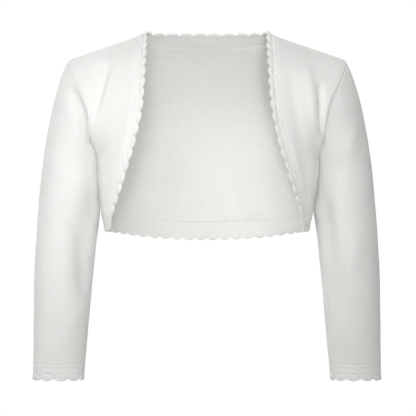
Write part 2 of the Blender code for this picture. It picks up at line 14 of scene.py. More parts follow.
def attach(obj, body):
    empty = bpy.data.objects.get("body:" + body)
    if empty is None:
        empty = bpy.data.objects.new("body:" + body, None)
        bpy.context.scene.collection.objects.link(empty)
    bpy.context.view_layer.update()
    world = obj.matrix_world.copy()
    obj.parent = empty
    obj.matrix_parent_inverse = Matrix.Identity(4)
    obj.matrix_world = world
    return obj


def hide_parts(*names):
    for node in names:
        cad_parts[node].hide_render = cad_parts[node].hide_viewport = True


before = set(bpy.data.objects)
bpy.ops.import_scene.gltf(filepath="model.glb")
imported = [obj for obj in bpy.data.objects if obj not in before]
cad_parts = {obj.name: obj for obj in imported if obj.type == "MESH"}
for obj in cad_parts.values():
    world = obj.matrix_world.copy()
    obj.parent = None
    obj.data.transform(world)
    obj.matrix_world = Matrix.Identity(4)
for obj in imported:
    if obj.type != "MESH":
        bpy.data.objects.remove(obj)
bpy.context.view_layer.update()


# Back
# One piece of fine plain knit in ivory cotton, from the hem seam to the shoulders and the back neck.
# Its wales run up the centre back. It is joined at the sides, the armholes and the shoulders.

# Scallops: one panel row or column to a scallop along the neck, fronts and back hem
SIDE_ROWS = 6
ARMHOLE_ROWS = 11
PANEL_ROWS = SIDE_ROWS + ARMHOLE_ROWS
NECK_COLUMNS = 6
SHOULDER_COLUMNS = 5
HALF_COLUMNS = NECK_COLUMNS + SHOULDER_COLUMNS
NECK_SHARES = (0.0, 0.17, 0.34, 0.51, 0.68, 0.84, 1.0)
# Steps of each curve before its points are shared out
CURVE_STEPS = 60
# Body of the garment below the armholes, as rounded sections
TORSO_ROUNDNESS = 2.3
SIDE_SEAM_Y = 4.0
UNDERARM_Z = -112.0
UNDERARM_SAG = 9.0
SAG_TURN = 0.28
HEM_SEAM_SIDE_Z = -177.5
HEM_SEAM_BACK_Z = -184.0
# height, half width, depth forward of the side seam, depth behind it
TORSO = (
    (-204.0, 103.5, 75.0, 66.5),
    (-192.0, 106.0, 76.0, 67.0),
    (-177.5, 109.7, 77.0, 68.0),
    (-163.0, 112.0, 77.8, 70.0),
    (-132.0, 116.8, 78.8, 72.5),
    (-112.0, 120.0, 79.0, 73.0),
    (-60.0, 124.0, 77.0, 73.0),
)
# Armhole from the underarm to the shoulder end: x, y, z
ARMHOLE_FRONT = (
    (120.0, 4.0, -112.0),
    (119.8, -14.0, -109.0),
    (120.4, -30.0, -99.5),
    (121.2, -40.5, -83.0),
    (123.4, -42.0, -66.0),
    (128.5, -36.0, -51.0),
    (134.2, -27.5, -39.5),
    (140.2, -14.5, -26.0),
    (144.0, -1.0, -14.6),
)
ARMHOLE_BACK = (
    (120.0, 4.0, -112.0),
    (119.8, 20.0, -109.5),
    (120.6, 34.0, -99.5),
    (123.0, 43.0, -84.0),
    (127.0, 43.5, -66.0),
    (132.5, 36.0, -49.0),
    (138.6, 22.0, -32.0),
    (142.8, 8.0, -18.4),
    (144.0, -1.0, -14.6),
)
# Seam of the front band, from the hem seam up to the shoulder seam: x, y, z
FRONT_SEAM = (
    (104.7, -24.5, -177.5),
    (102.8, -34.5, -158.1),
    (97.3, -45.1, -139.8),
    (92.4, -52.3, -121.2),
    (86.9, -56.8, -102.6),
    (82.5, -57.6, -84.4),
    (79.3, -56.0, -66.7),
    (77.4, -49.0, -42.8),
    (77.0, -36.2, -21.5),
    (76.9, -19.0, -4.4),
    (77.1, -1.0, 8.4),
)
# Back neck: seam line and free edge, both rounded at the shoulders
NECK_SEAM_HALF_WIDTH = 77.2
NECK_SEAM_BACK_Y = 44.0
NECK_SEAM_BACK_Z = 3.6
NECK_SEAM_RIDGE_Z = 8.0
NECK_SEAM_ROUNDNESS = 2.7
# Control rows of the upper back: row, centre y, centre z, turn at the armhole, fullness, drop
UPPER_BACK = (
    (10, 72.5, -58.0, 60.0, 92.0, 2.0),
    (13, 61.0, -27.0, 35.0, 84.0, 2.5),
)
BACK_CENTRE_UNDERARM_Z = -100.0
CENTRE_PULL = 1.2
ROW_EASING = 4
# Row just below the shoulder and neck seams: column, move in x, y, z from the seam
BELOW_TOP = (
    (0, 0.0, 6.5, -10.0),
    (3, 2.5, 7.5, -9.0),
    (4, 5.0, 8.0, -6.5),
    (5, 3.0, 8.0, -1.2),
    (6, 4.0, 8.0, -1.6),
    (7, 0.0, 8.5, -0.6),
    (11, 0.0, 8.0, -1.0),
)
# Fine steps between two points of a grid
FINER = 6
CLOTH = 1.6
# A cut side of the cloth turns by more than this from its face
SHARP_TURN = math.radians(50.0)
# The cloth stands up beside a seam, which lies in a groove: height, half width
SEAM_RISE = 0.1
SEAM_HALF_WIDTH = 1.6
# Creases and waves begin this far from a seam
STILL_WIDTH = 6.0
# Share of a crease's height at its ends, what its middle has more, and its reach in half widths
END_SHARE = 0.55
MIDDLE_SHARE = 0.45
CREASE_REACH = 3.0
# Slight waves all over the cloth: length, height
SLOW_WAVE = (38.0, 0.45)
QUICK_WAVE = (15.0, 0.14)
QUICK_WAVE_START = Vector((7.0, 3.0, 1.0))
# Ridge inside the back neck: fine rows below the seam, height
RIDGE_ROWS_DOWN = 3
NECK_RIDGE = 0.5
# One stitch in metres: width of a wale, height of a course
WALE = 0.0014
COURSE = 0.00115
# Each leg of a stitch leans by this many courses over one wale
LEG_LEAN = 1.6
# Relief of the knit: height in metres, strength, share of the swelling legs, share of the fibres
RELIEF = 0.0003
RELIEF_STRENGTH = 0.8
SWELLING = 0.3
FIBRE_SHARE = 0.3
# Noise to a metre: fibres, streaks across the wales and up them, soft patches
FIBRES = 900.0
STREAKS = ((45.0, 380.0), (330.0, 60.0))
PATCHES = 22.0
# Unevenness of the yarn's tone, and painted shade: how much darker the cloth is painted between the
# stitches, where shade falls in the knit
MOTTLE = 0.05
PAINTED_STITCH_SHADE = 0.07
IVORY = (0.873, 0.88, 0.84, 1.0)
DARKER = 0.8
# Creases as soft lines seen from behind: x, z of each end, height out of the cloth, half width
BACK_CREASES = (
    (-40.0, -90.0, -55.0, -184.0, -2.6, 8.0),
    (-5.0, -100.0, 0.0, -184.0, 2.4, 9.0),
    (38.0, -95.0, 50.0, -184.0, -2.8, 8.0),
    (-104.0, -98.0, -88.0, -150.0, -2.0, 8.0),
    (102.0, -102.0, 86.0, -155.0, -2.2, 8.0),
    (-22.0, -120.0, -30.0, -184.0, 1.8, 5.0),
    (16.0, -125.0, 22.0, -184.0, -1.8, 5.0),
    (66.0, -110.0, 72.0, -180.0, 1.8, 6.0),
    (-70.0, -105.0, -78.0, -180.0, 0.9, 7.0),
    (104.0, -95.0, 62.0, -78.0, -1.2, 8.0),
    (-106.0, -92.0, -66.0, -74.0, -1.0, 8.0),
    (84.0, -30.0, 100.0, -62.0, -1.3, 8.0),
    (-86.0, -30.0, -99.0, -60.0, -1.1, 8.0),
)


def mix(a, b, share):
    return a + (b - a) * share


def from_table(table, value):
    """The other columns of a table, in proportion between its rows."""
    rows = sorted(table)
    value = min(max(value, rows[0][0]), rows[-1][0])
    for low, high in zip(rows, rows[1:]):
        if value <= high[0]:
            share = (value - low[0]) / (high[0] - low[0])
            return [mix(a, b, share) for a, b in zip(low[1:], high[1:])]


def through(points, marks, mark):
    """A smooth line through points placed at marks, read at one mark."""
    last = len(points) - 1
    i = 0
    while i < last - 1 and mark > marks[i + 1]:
        i += 1

    def slope(k):
        if k == 0:
            return (points[1] - points[0]) / (marks[1] - marks[0])
        if k == last:
            return (points[last] - points[last - 1]) / (marks[last] - marks[last - 1])
        before = marks[k] - marks[k - 1]
        after = marks[k + 1] - marks[k]
        rise_before = (points[k] - points[k - 1]) / before
        rise_after = (points[k + 1] - points[k]) / after
        return (rise_before * after + rise_after * before) / (before + after)

    span = marks[i + 1] - marks[i]
    return arc(points[i], points[i + 1], slope(i) * span, slope(i + 1) * span,
               (mark - marks[i]) / span)


def arc(start, end, leave, arrive, share):
    """A curve between two points from its directions at both ends."""
    square = share * share
    cube = square * share
    return (start * (2 * cube - 3 * square + 1) + leave * (cube - 2 * square + share)
            + end * (3 * square - 2 * cube) + arrive * (cube - square))


def lengths_along(line):
    total = [0.0]
    for a, b in zip(line, line[1:]):
        total.append(total[-1] + (b - a).length)
    return total


def smooth_line(table, steps=10):
    points = [Vector(row) for row in table]
    marks = lengths_along(points)
    line = []
    for low, high in zip(marks, marks[1:]):
        line += [through(points, marks, mix(low, high, k / steps)) for k in range(steps)]
    return line + [points[-1]]


def shared_out(line, shares):
    """Points on a line at shares of its length."""
    total = lengths_along(line)
    out = []
    i = 0
    for share in shares:
        want = share * total[-1]
        while i < len(line) - 2 and total[i + 1] < want:
            i += 1
        step = total[i + 1] - total[i]
        out.append(mix(line[i], line[i + 1], (want - total[i]) / step))
    return out


def even(count):
    return [k / count for k in range(count + 1)]


def finer(values, steps):
    out = []
    for a, b in zip(values, values[1:]):
        out += [mix(a, b, k / steps) for k in range(steps)]
    return out + [values[-1]]


def torso_point(turn, height):
    """Turn 0 is the centre back, a quarter turn the side, half a turn the centre front."""
    half_width, front, back = from_table(TORSO, height)
    across = math.sin(turn)
    ahead = math.cos(turn)
    power = 2 / TORSO_ROUNDNESS
    depth = math.copysign((back if ahead >= 0 else front) * abs(ahead) ** power, ahead)
    return Vector((half_width * max(across, 0.0) ** power, SIDE_SEAM_Y + depth, height))


def torso_side(y, height):
    half_width, front, back = from_table(TORSO, height)
    share = abs(y - SIDE_SEAM_Y) / (back if y >= SIDE_SEAM_Y else front)
    return half_width * max(1 - share ** TORSO_ROUNDNESS, 0.0) ** (1 / TORSO_ROUNDNESS)


def sag_at(turn, row):
    """Drop of a row near the side seam, which leaves room below the armhole curve."""
    share = abs(turn - math.pi / 2) / SAG_TURN
    return UNDERARM_SAG * (row / SIDE_ROWS) ** 2 * share * math.exp(1 - share)


def torso_row(side_z, back_z, row=0):
    line = []
    for k in range(CURVE_STEPS + 1):
        turn = math.pi / 2 * k / CURVE_STEPS
        height = mix(side_z, back_z, math.cos(turn) ** 2) - sag_at(turn, row)
        line.append(torso_point(turn, height))
    return line


def side_seam():
    heights = [mix(HEM_SEAM_SIDE_Z, UNDERARM_Z, share) for share in even(SIDE_ROWS)]
    return [torso_point(math.pi / 2, z) for z in heights]


def panel_edge(armhole):
    """Side seam and half the armhole, from the hem seam to the shoulder end."""
    return side_seam() + shared_out(smooth_line(armhole), even(ARMHOLE_ROWS))[1:]


def neck_line(half_width, back_y, back_z, ridge_z, roundness, front_end):
    """From the centre back round to the shoulder, then forward to the shoulder seam."""
    line = []
    for k in range(CURVE_STEPS + 1):
        turn = math.pi / 2 * k / CURVE_STEPS
        height = mix(ridge_z, back_z, math.cos(turn) ** 2)
        line.append(Vector((half_width * math.sin(turn) ** (2 / roundness),
                            back_y * max(math.cos(turn), 0.0) ** (2 / roundness), height)))
    return line + [Vector(front_end)]


def neck_seam():
    return neck_line(NECK_SEAM_HALF_WIDTH, NECK_SEAM_BACK_Y, NECK_SEAM_BACK_Z,
                     NECK_SEAM_RIDGE_Z, NECK_SEAM_ROUNDNESS, FRONT_SEAM[-1])


def shoulder_seam():
    start = Vector(FRONT_SEAM[-1])
    end = Vector(ARMHOLE_FRONT[-1])
    return [mix(start, end, share) for share in even(SHOULDER_COLUMNS)]


def back_half():
    """Half the back from the centre to the wearer's left side, row by row from the hem."""
    edge = panel_edge(ARMHOLE_BACK)
    columns = even(HALF_COLUMNS)
    rows = {}
    rows[0] = shared_out(torso_row(HEM_SEAM_SIDE_Z, HEM_SEAM_BACK_Z), columns)
    middle_z = (HEM_SEAM_SIDE_Z + UNDERARM_Z) / 2
    middle_back_z = (HEM_SEAM_BACK_Z + BACK_CENTRE_UNDERARM_Z) / 2
    middle = torso_row(middle_z, middle_back_z, SIDE_ROWS // 2)
    rows[SIDE_ROWS // 2] = shared_out(middle, columns)
    underarm = torso_row(UNDERARM_Z, BACK_CENTRE_UNDERARM_Z, SIDE_ROWS)
    rows[SIDE_ROWS] = shared_out(underarm, columns)
    for row, centre_y, centre_z, turn, fullness, drop in UPPER_BACK:
        centre = Vector((0.0, centre_y, centre_z))
        end = edge[row]
        turn = math.radians(turn)
        leave = Vector((CENTRE_PULL * end.x, 0.0, 0.0))
        arrive = Vector((math.cos(turn) * fullness, -math.sin(turn) * fullness,
                         drop * (end.z - centre.z)))
        line = [arc(centre, end, leave, arrive, share) for share in even(CURVE_STEPS)]
        rows[row] = shared_out(line, columns)
    top = shared_out(neck_seam(), NECK_SHARES) + shoulder_seam()[1:]
    moves = [Vector(from_table(BELOW_TOP, c)) for c in range(HALF_COLUMNS + 1)]
    rows[PANEL_ROWS - 1] = [point + move for point, move in zip(top, moves)]
    rows[PANEL_ROWS] = top
    marks = sorted(rows)
    grid = []
    for r in range(PANEL_ROWS + 1):
        line = [through([rows[m][c] for m in marks], marks, r) for c in range(HALF_COLUMNS)]
        line.append(edge[r])
        grid.append(eased(line, min(max(r - SIDE_ROWS, 0) // 2, ROW_EASING)))
    grid[PANEL_ROWS] = top
    return grid


def eased(line, times):
    """The row with its corners softened, still at both ends."""
    for _ in range(times):
        line = [line[0]] + [line[c] / 2 + (line[c - 1] + line[c + 1]) / 4
                            for c in range(1, len(line) - 1)] + [line[-1]]
    return line


def mirrored(point):
    return Vector((-point.x, point.y, point.z))


def refined(grid, ring=False):
    """A grid with FINER steps between its points, smooth both ways. A ring's first column is repeated."""
    wide = []
    for row in grid:
        if ring:
            row = row[-2:] + row + row[:3]
        marks = list(range(len(row)))
        first = 2 if ring else 0
        count = (len(row) - 5 if ring else len(row) - 1) * FINER
        wide.append([through(row, marks, first + c / FINER) for c in range(count + 1)])
    marks = list(range(len(grid)))
    fine = []
    for r in range((len(grid) - 1) * FINER + 1):
        fine.append([through([row[c] for row in wide], marks, r / FINER)
                     for c in range(len(wide[0]))])
    return fine


def normals_of(grid, inside, ring=False):
    """Outward normal at each point. inside is a point in the hollow at the middle row."""
    last_row = len(grid) - 1
    last = len(grid[0]) - 1
    out = []
    for r, row in enumerate(grid):
        line = []
        for c in range(last + 1):
            before = row[c - 1] if c else row[last - 1] if ring else row[0]
            after = row[c + 1] if c < last else row[1] if ring else row[last]
            up = grid[min(r + 1, last_row)][c] - grid[max(r - 1, 0)][c]
            line.append((after - before).cross(up).normalized())
        out.append(line)
    middle = last_row // 2
    if out[middle][last // 3].dot(grid[middle][last // 3] - inside) < 0:
        out = [[-normal for normal in line] for line in out]
    return out


def bell(distance, middle, half_width):
    return math.exp(-((distance - middle) / half_width) ** 2)


def crease_height(creases, x, z):
    """Height of the creases at a place, each a soft ridge or trough that dies away at its ends."""
    total = 0.0
    for x0, z0, x1, z1, height, half_width in creases:
        run_x, run_z = x1 - x0, z1 - z0
        length = run_x * run_x + run_z * run_z
        along = ((x - x0) * run_x + (z - z0) * run_z) / length
        near = min(max(along, 0.0), 1.0)
        far_x, far_z = x - x0 - run_x * near, z - z0 - run_z * near
        far = (far_x * far_x + far_z * far_z) / (half_width * half_width)
        if far < CREASE_REACH ** 2:
            taper = END_SHARE + MIDDLE_SHARE * math.sin(math.pi * near)
            total += height * math.exp(-far) * taper
    return total


def unevenness(point):
    """Slight waves of a washed and pressed knit, about a third of a millimetre."""
    slow = noise.noise(point / SLOW_WAVE[0])
    quick = noise.noise(point / QUICK_WAVE[0] + QUICK_WAVE_START)
    return SLOW_WAVE[1] * slow + QUICK_WAVE[1] * quick


def seam_rise(away):
    return SEAM_RISE * (1 - bell(away, 0.0, SEAM_HALF_WIDTH))


def laid(height, away):
    """Height of the cloth at a distance from its nearest seam, where creases and waves die away."""
    return height * min(away / STILL_WIDTH, 1.0) + seam_rise(away)


def seam_distance(grid, r, c):
    """Distance to the nearest side of a panel, along its rows and columns."""
    point = grid[r][c]
    return min((point - end).length for end in (grid[0][c], grid[-1][c], grid[r][0], grid[r][-1]))


def knit_places(grid, centre_column):
    """Place of each point on the flat knit, in metres: across the wales, and up the courses."""
    height = [0.0]
    for low, high in zip(grid, grid[1:]):
        height.append(height[-1] + (high[centre_column] - low[centre_column]).length / 1000)
    places = []
    for r, row in enumerate(grid):
        lengths = lengths_along(row)
        middle = lengths[centre_column]
        places.append([((length - middle) / 1000, height[r]) for length in lengths])
    return places


def cloth_wall(name, grid, normals, places, outer, inner, ring=False, free_edge=False):
    """A closed wall of cloth: a flat grid is thickened, and both its sides are laid on the form."""
    rows = len(grid) - 1
    columns = len(grid[0]) - 1
    bm = bmesh.new()
    bmesh.ops.create_grid(bm, x_segments=columns, y_segments=rows, size=1.0)
    sheet = bm.faces[:] + bm.edges[:] + bm.verts[:]
    raised = bmesh.ops.extrude_face_region(bm, geom=sheet, use_keep_orig=True)["geom"]
    raised = {item for item in raised if isinstance(item, bmesh.types.BMVert)}
    at = {}
    for vert in bm.verts:
        column = round((vert.co.x + 1) / 2 * columns)
        row = round((vert.co.y + 1) / 2 * rows)
        at[vert] = (row, column)
    layer = bm.loops.layers.uv.new("knit")
    for face in bm.faces:
        for loop in face.loops:
            row, column = at[loop.vert]
            loop[layer].uv = places[row][column]
    for vert, (row, column) in at.items():
        if vert in raised:
            offset = CLOTH / 2 + outer[row][column]
        else:
            offset = -CLOTH / 2 + inner[row][column]
        vert.co = (grid[row][column] + normals[row][column] * offset) / 1000
    if ring:
        ends = [face for face in bm.faces
                if len({at[vert][1] for vert in face.verts}) == 1
                and at[face.verts[0]][1] in (0, columns)]
        bmesh.ops.delete(bm, geom=ends, context="FACES_ONLY")
        bmesh.ops.remove_doubles(bm, verts=bm.verts[:], dist=1e-6)
    bmesh.ops.recalc_face_normals(bm, faces=bm.faces[:])
    for face in bm.faces:
        face.smooth = True
    for edge in bm.edges:
        if len(edge.link_faces) == 2 and edge.calc_face_angle() > SHARP_TURN:
            edge.smooth = free_edge and all(at[vert][0] == rows for vert in edge.verts)
    mesh = bpy.data.meshes.new(name)
    bm.to_mesh(mesh)
    bm.free()
    piece = bpy.data.objects.new(name + "_cloth", mesh)
    bpy.context.scene.collection.objects.link(piece)
    return piece


def knit_material(name, along_band=False):
    """Plain knit on the piece's own map: each stitch is a V of two legs. A band's courses run along it."""
    material = bpy.data.materials.new(name)
    material.use_nodes = True
    nodes, links = material.node_tree.nodes, material.node_tree.links
    shader = nodes["Principled BSDF"]
    for socket, value in (("Roughness", 0.88), ("Specular IOR Level", 0.25), ("Sheen Weight", 0.18),
                          ("Sheen Roughness", 0.55), ("Sheen Tint", (1.0, 1.0, 0.98, 1.0)),
                          ("Subsurface Weight", 0.3), ("Subsurface Radius", (1.0, 0.9, 0.7)),
                          ("Subsurface Scale", 0.0015)):
        shader.inputs[socket].default_value = value

    def math_node(kind, first, second=None, third=None):
        node = nodes.new("ShaderNodeMath")
        node.operation = kind
        for socket, value in zip(node.inputs, (first, second, third)):
            if isinstance(value, float):
                socket.default_value = value
            elif value is not None:
                links.new(value, socket)
        return node.outputs[0]

    def noise_node(scale, detail, vector):
        node = nodes.new("ShaderNodeTexNoise")
        node.inputs["Scale"].default_value = scale
        node.inputs["Detail"].default_value = detail
        links.new(vector, node.inputs["Vector"])
        return node.outputs["Fac"]

    flat = nodes.new("ShaderNodeUVMap")
    flat.uv_map = "knit"
    split = nodes.new("ShaderNodeSeparateXYZ")
    links.new(flat.outputs["UV"], split.inputs[0])
    across, up = split.outputs["X"], split.outputs["Y"]
    if along_band:
        across, up = up, across
    half = math_node("PINGPONG", math_node("DIVIDE", across, WALE), 0.5)
    leaning = math_node("MULTIPLY_ADD", half, -LEG_LEAN, math_node("DIVIDE", up, COURSE))
    bulge = math_node("SINE", math_node("MULTIPLY", leaning, 2 * math.pi))
    leg = math_node("SINE", math_node("MULTIPLY", half, 2 * math.pi))
    stitch = math_node("MULTIPLY", leg, math_node("MULTIPLY_ADD", bulge, SWELLING, 1 - SWELLING))
    place = nodes.new("ShaderNodeTexCoord").outputs["Object"]
    fibres = noise_node(FIBRES, 2.0, place)
    bump = nodes.new("ShaderNodeBump")
    bump.inputs["Strength"].default_value = RELIEF_STRENGTH
    bump.inputs["Distance"].default_value = RELIEF
    links.new(math_node("MULTIPLY_ADD", fibres, FIBRE_SHARE, stitch), bump.inputs["Height"])
    links.new(bump.outputs["Normal"], shader.inputs["Normal"])

    uneven = []
    for scale_across, scale_up in STREAKS:
        stretch = nodes.new("ShaderNodeCombineXYZ")
        links.new(math_node("MULTIPLY", across, scale_across), stretch.inputs["X"])
        links.new(math_node("MULTIPLY", up, scale_up), stretch.inputs["Y"])
        uneven.append(noise_node(1.0, 3.0, stretch.outputs[0]))
    uneven.append(noise_node(PATCHES, 3.0, place))
    # Painted shade: the colour is darker between the stitches, where shade falls, then varied at random by
    # the yarn's own streaks and patches
    painted_shade_and_mottle = math_node("MULTIPLY_ADD", stitch, PAINTED_STITCH_SHADE, 1 - PAINTED_STITCH_SHADE)
    for value in uneven:
        painted_shade_and_mottle = math_node("MULTIPLY", painted_shade_and_mottle, math_node("MULTIPLY_ADD", value, MOTTLE, 1 - MOTTLE / 2))
    spread = nodes.new("ShaderNodeMapRange")
    spread.inputs["From Min"].default_value = DARKER
    spread.inputs["From Max"].default_value = 1.0
    links.new(painted_shade_and_mottle, spread.inputs["Value"])
    tone = nodes.new("ShaderNodeMix")
    tone.data_type = "RGBA"
    tone.inputs["A"].default_value = tuple(DARKER * value for value in IVORY[:3]) + (1.0,)
    tone.inputs["B"].default_value = IVORY
    links.new(spread.outputs["Result"], tone.inputs["Factor"])
    links.new(tone.outputs["Result"], shader.inputs["Base Color"])
    return material


body_knit = knit_material("body_knit")


def finished(piece, material, node, **cut):
    piece.data.materials.append(material)
    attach(piece, "root")
    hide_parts(node)


def torso_middle(grid):
    return Vector((0.0, SIDE_SEAM_Y, grid[(len(grid) - 1) // 2][0].z))


def panel(name, grid, normals, creases, ridge=lambda r, c: 0.0):
    """A flat-cut piece laid on its form, with its creases, its slight waves and its seams."""
    rise = []
    for r, row in enumerate(grid):
        line = []
        for c, point in enumerate(row):
            height = crease_height(creases, point.x, point.z) + unevenness(point)
            line.append(laid(height, seam_distance(grid, r, c)) + ridge(r, c))
        rise.append(line)
    centre = min(range(len(grid[0])), key=lambda c: abs(grid[0][c].x))
    return cloth_wall(name, grid, normals, knit_places(grid, centre), rise, rise)


def neck_ridge(r, c):
    """A low ridge inside the back, a little below the seam of the neck band."""
    if r != PANEL_ROWS * FINER - RIDGE_ROWS_DOWN:
        return 0.0
    beside = NECK_COLUMNS * FINER - abs(c - HALF_COLUMNS * FINER)
    return -NECK_RIDGE * min(max(beside / FINER, 0.0), 1.0)


back_points = back_half()
back_points = [[mirrored(p) for p in reversed(row[1:])] + row for row in back_points]
back_form = refined(back_points)
back_normals = normals_of(back_form, torso_middle(back_form))
back = panel("back", back_form, back_normals, BACK_CREASES, neck_ridge)
finished(back, body_knit, "back", flat=(0.348, 0.228), rests_on=["front_right", "front_left"], area=0.057)


# Fronts
# Two narrow pieces of the same knit, from the side seam and the armhole to the seam of the front band.
# Each hangs from the shoulder seam and curves away below the chest. Soft drape folds run down from it.

# Share of the underarm row's roundness kept in the rows above it: row, share
FRONT_SWELL = ((6, 1.0), (9, 0.75), (12, 0.45), (15, 0.2), (17, 0.0))
FRONT_RIGHT_CREASES = (
    (-104.0, -24.0, -110.5, -48.0, -4.0, 4.6),
    (-110.5, -48.0, -118.0, -76.0, -4.8, 4.6),
    (-112.0, -26.0, -120.0, -62.0, -3.6, 8.0),
    (-94.0, -62.0, -104.0, -150.0, 0.9, 7.0),
    (-109.0, -112.0, -104.0, -176.0, 1.6, 4.5),
)
FRONT_LEFT_CREASES = (
    (86.0, -34.0, 96.0, -100.0, -2.0, 5.5),
    (96.0, -100.0, 104.0, -150.0, -1.2, 5.5),
    (104.0, -26.0, 110.0, -82.0, 2.9, 6.0),
    (116.5, -46.0, 119.0, -88.0, -5.0, 3.8),
    (118.5, -64.0, 120.0, -92.0, -3.5, 2.8),
    (118.5, -98.0, 112.0, -150.0, 2.0, 4.0),
    (109.0, -112.0, 104.0, -176.0, 1.4, 4.5),
)


def front_torso_row(start, end, row):
    """Along the rounded section from the side seam to the front band seam."""
    share_out = min(end.x / from_table(TORSO, end.z)[0], 1.0)
    last_turn = math.pi - math.asin(share_out ** (TORSO_ROUNDNESS / 2))
    line = []
    for k in range(CURVE_STEPS + 1):
        turn = mix(math.pi / 2, last_turn, k / CURVE_STEPS)
        height = mix(start.z, end.z, k / CURVE_STEPS) - sag_at(turn, row)
        line.append(torso_point(turn, height))
    miss = end - line[-1]
    line = [point + miss * (k / CURVE_STEPS) ** 2 for k, point in enumerate(line)]
    return shared_out(line, even(SHOULDER_COLUMNS))


def front_points(side):
    """A front from the side and armhole to the band seam, row by row from the hem."""
    edge = panel_edge(ARMHOLE_FRONT)
    seam = shared_out(smooth_line(FRONT_SEAM), even(PANEL_ROWS))
    columns = even(SHOULDER_COLUMNS)
    grid = []
    for r in range(PANEL_ROWS):
        if r <= SIDE_ROWS:
            row = front_torso_row(edge[r], seam[r], r)
            swell = [p - mix(row[0], row[-1], share) for p, share in zip(row, columns)]
        else:
            keep = from_table(FRONT_SWELL, r)[0]
            row = [mix(edge[r], seam[r], share) + out * keep
                   for out, share in zip(swell, columns)]
        grid.append(row)
    grid.append(list(reversed(shoulder_seam())))
    return grid if side > 0 else [[mirrored(p) for p in row] for row in grid]


def front_form(side):
    """The front laid out finely, with its side and shoulder seams on those of the back."""
    form = refined(front_points(side))
    column = -1 if side > 0 else 0
    side_rows = SIDE_ROWS * FINER
    for r in range(side_rows + 1):
        move = back_form[r][column] - form[r][0]
        for c in range(FINER):
            form[r][c] = form[r][c] + move * (1 - c / FINER)
    last = SHOULDER_COLUMNS * FINER
    top = back_form[-1]
    goal = [top[-1 - c] if side > 0 else top[c] for c in range(last + 1)]
    for c in range(last + 1):
        move = goal[c] - form[-1][c]
        for k in range(FINER):
            form[-1 - k][c] = form[-1 - k][c] + move * (1 - k / FINER)
    return form


def front_normals(form, side):
    """Normals that turn into those of the back at the side seam and the shoulder seam."""
    normals = normals_of(form, torso_middle(form))
    column = -1 if side > 0 else 0
    for r in range(SIDE_ROWS * FINER + 1):
        for c in range(FINER):
            normals[r][c] = mix(back_normals[r][column], normals[r][c], c / FINER).normalized()
    for c in range(len(form[0])):
        lead = back_normals[-1][-1 - c if side > 0 else c]
        for k in range(FINER):
            normals[-1 - k][c] = mix(lead, normals[-1 - k][c], k / FINER).normalized()
    return normals


def front(name, side, creases):
    form = front_form(side)
    normals = front_normals(form, side)
    piece = panel(name, form, normals, creases)
    finished(piece, body_knit, name, flat=(0.072, 0.217), rests_on=["back"], area=0.0106)
    return form, normals


front_right_form, front_right_normals = front("front_right", -1, FRONT_RIGHT_CREASES)
front_left_form, front_left_normals = front("front_left", 1, FRONT_LEFT_CREASES)


# Sleeves
# Each sleeve is one piece of the same knit, joined into a tube under the arm and set into the armhole.
# The seam round the armhole stands up as a narrow welt. The elbow is slightly bent, with soft creases.

# Sleeve below the armhole: height, outermost x, width, centre y, depth front to back
SLEEVE = (
    (-127.0, 172.2, 66.0, 3.0, 80.0),
    (-166.0, 176.0, 66.0, 3.0, 76.0),
    (-188.0, 177.7, 62.6, 1.0, 72.0),
    (-226.0, 179.6, 60.6, -3.0, 66.0),
    (-251.0, 180.2, 59.0, -6.0, 62.0),
    (-290.0, 180.1, 55.4, -11.0, 54.0),
    (-330.0, 180.4, 52.4, -15.0, 44.0),
    (-348.0, 180.2, 50.9, -16.5, 41.0),
)
SLEEVE_COLUMNS = 2 * ARMHOLE_ROWS
CAP_ROWS = 7
SLEEVE_ROWS = 14
SLEEVE_CLEARANCE = 2.2
# The clearance is kept from just above the underarm down to the hem
CLEAR_BELOW_Z = -106.0
CUFF_SEAM_Z = -330.0
# First direction of the sleeve at the underarm, sides and shoulder: outward, down, pull
CAP_LEAVE = ((0.30, 0.95, 0.4), (0.62, 0.78, 0.6), (0.55, 0.83, 0.6))
CAP_ARRIVE = 0.9
# Width of one degree round the sleeve, for the folds
SLEEVE_DEGREE = 0.55
# Rows over which the sleeve's surface turns out of that of the body
LED_ROWS = 14
# Extra rows beside the seams: intervals at each end of the sleeve, rows in each
CLOSE_INTERVALS = 3
CLOSE_ROWS = 4
# Welt along the armhole seam: distance from the seam, half width, share of its height
WELT_LINES = ((2.2, 0.9, 1.0), (4.2, 0.8, -0.5), (5.8, 0.8, 0.4))
WELT_RIGHT = 0.1
WELT_LEFT = 0.8
HEM_EDGE_BACK_Z = -204.0
# Sleeve creases: height, turn round the sleeve at each end, height out of the cloth, half width
SLEEVE_RIGHT_CREASES = (
    (-176.0, 84.0, -214.0, 56.0, -3.5, 11.0),
    (-214.0, 54.0, -258.0, 34.0, -6.5, 13.0),
    (-150.0, 70.0, -120.0, 130.0, 1.8, 10.0),
    (-262.0, 30.0, -300.0, 70.0, 1.2, 9.0),
    (-205.0, 330.0, -240.0, 250.0, -2.2, 10.0),
    (-50.0, 88.0, -98.0, 64.0, -6.0, 5.5),
    (-104.0, 26.0, -150.0, 20.0, 3.0, 6.0),
    (-97.0, 54.0, -142.0, 30.0, 4.4, 8.5),
    (-138.0, 48.0, -205.0, 44.0, -4.0, 12.0),
    (-134.0, 14.0, -160.0, 13.0, 3.2, 6.0),
    (-177.0, 346.0, -208.0, 346.0, -3.0, 13.0),
)
SLEEVE_LEFT_CREASES = (
    (-126.0, 80.0, -89.0, 112.0, 3.4, 6.5),
    (-152.0, 66.0, -104.0, 96.0, -3.0, 6.0),
    (-245.0, 72.0, -203.0, 106.0, 3.2, 7.5),
    (-268.0, 56.0, -222.0, 86.0, -2.6, 7.5),
    (-210.0, 320.0, -250.0, 245.0, -2.2, 10.0),
    (-52.0, 76.0, -100.0, 60.0, -3.4, 5.5),
    (-104.0, 20.0, -150.0, 16.0, 3.0, 5.0),
    (-97.0, 54.0, -140.0, 28.0, 4.6, 7.5),
    (-128.0, 48.0, -236.0, 46.0, -7.0, 13.0),
    (-132.0, 14.0, -160.0, 13.0, 4.0, 6.5),
    (-177.0, 346.0, -208.0, 346.0, -3.0, 13.0),
)


